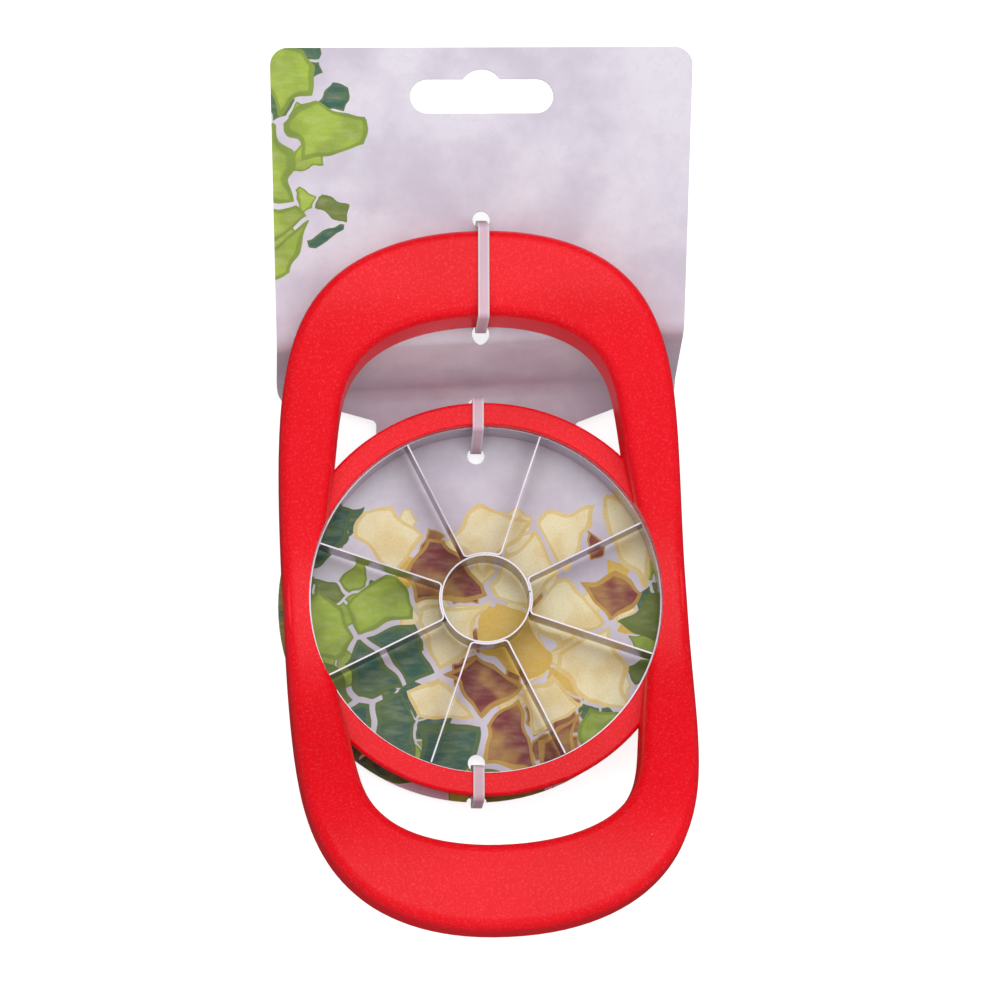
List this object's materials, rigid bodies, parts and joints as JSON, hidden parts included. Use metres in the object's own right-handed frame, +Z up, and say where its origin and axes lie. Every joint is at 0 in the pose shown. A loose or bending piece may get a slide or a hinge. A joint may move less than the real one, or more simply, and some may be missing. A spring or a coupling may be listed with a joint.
{
  "type": "apple slicer wedger",
  "caption": "Hand press apple slicer: a red loop handle round a steel-lined ring with radial blades and a coring ring, tied to a bent hang card with nylon cable ties.",
  "frame": {"origin": "under the middle of the whole set, on the surface that its tie heads stand on", "axes": "+Z up along the ring's axis, +Y from the near handle to the far handle and the hang card, +X to the right"},
  "size_m": [0.112, 0.229, 0.0471],
  "materials": {
    "red_plastic": "satin moulded red plastic with a fine grain",
    "steel": "bright rolled stainless steel",
    "printed_card": "coated card with a clouded grey print",
    "nylon": "translucent natural nylon"
  },
  "bodies": {
    "root": {"handle_frame": "red_plastic", "blade_band": "steel", "core_ring": "steel", "blade_strip_right": "steel", "blade_strip_far": "steel", "blade_strip_left": "steel", "blade_strip_near": "steel", "hang_card": "printed_card", "tie_handle": "nylon", "tie_ring_far": "nylon", "tie_ring_near": "nylon"}
  },
  "joints": []
}
